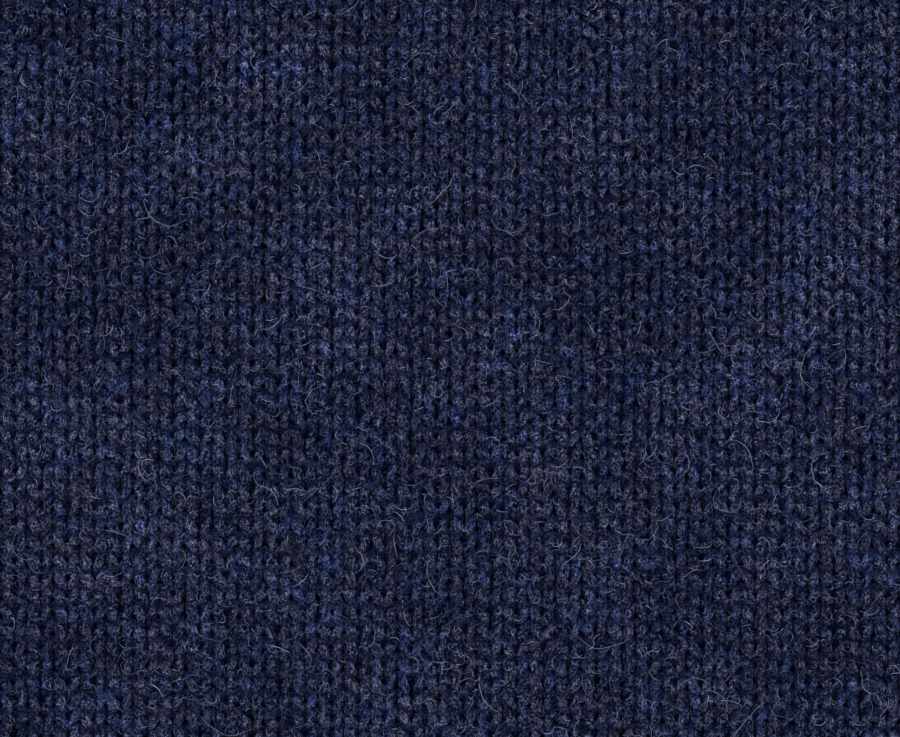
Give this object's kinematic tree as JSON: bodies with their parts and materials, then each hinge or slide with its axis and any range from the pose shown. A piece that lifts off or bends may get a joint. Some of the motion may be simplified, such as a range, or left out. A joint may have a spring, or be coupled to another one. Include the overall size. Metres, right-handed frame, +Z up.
{
  "type": "zip-neck sweater",
  "caption": "Knitted zip-neck sweater in heathered navy wool, laid flat with its front up, with a ribbed stand collar, cuffs and hem, and a zip whose pull tab turns.",
  "frame": {"origin": "the middle of the garment's width and length, on the surface it lies on", "axes": "+Z up from the surface, +Y from the hem towards the collar, +X towards the wearer's left sleeve"},
  "size_m": [1.2806, 0.7464, 0.0121],
  "materials": {
    "knit": "plain knit of heathered navy wool with a soft nap",
    "rib": "ribbed knit of the same heathered navy wool",
    "zip_tape": "woven navy tape",
    "zip_metal": "nickel-coloured metal with a soft shine"
  },
  "bodies": {
    "sweater": {"front": "knit", "back": "knit", "sleeve_left": "knit", "sleeve_right": "knit", "rib_hem_front": "rib", "rib_hem_back": "rib", "cuff_left": "rib", "cuff_right": "rib", "collar": "rib", "zip_tape_left": "zip_tape", "zip_tape_right": "zip_tape", "zip_chain": "zip_metal", "zip_bottom_stop": "zip_metal", "zip_top_stop_left": "zip_metal", "zip_top_stop_right": "zip_metal", "zip_slider": "zip_metal"},
    "pull_tab": {"zip_pull_tab": "zip_metal"}
  },
  "joints": [
    {"name": "pull_tab_flip", "type": "hinge", "parent": "sweater", "child": "pull_tab", "pos_m": [0, 0.309, 0.0099], "axis": [-1, 0, 0], "range_deg": [0, 170]}
  ]
}
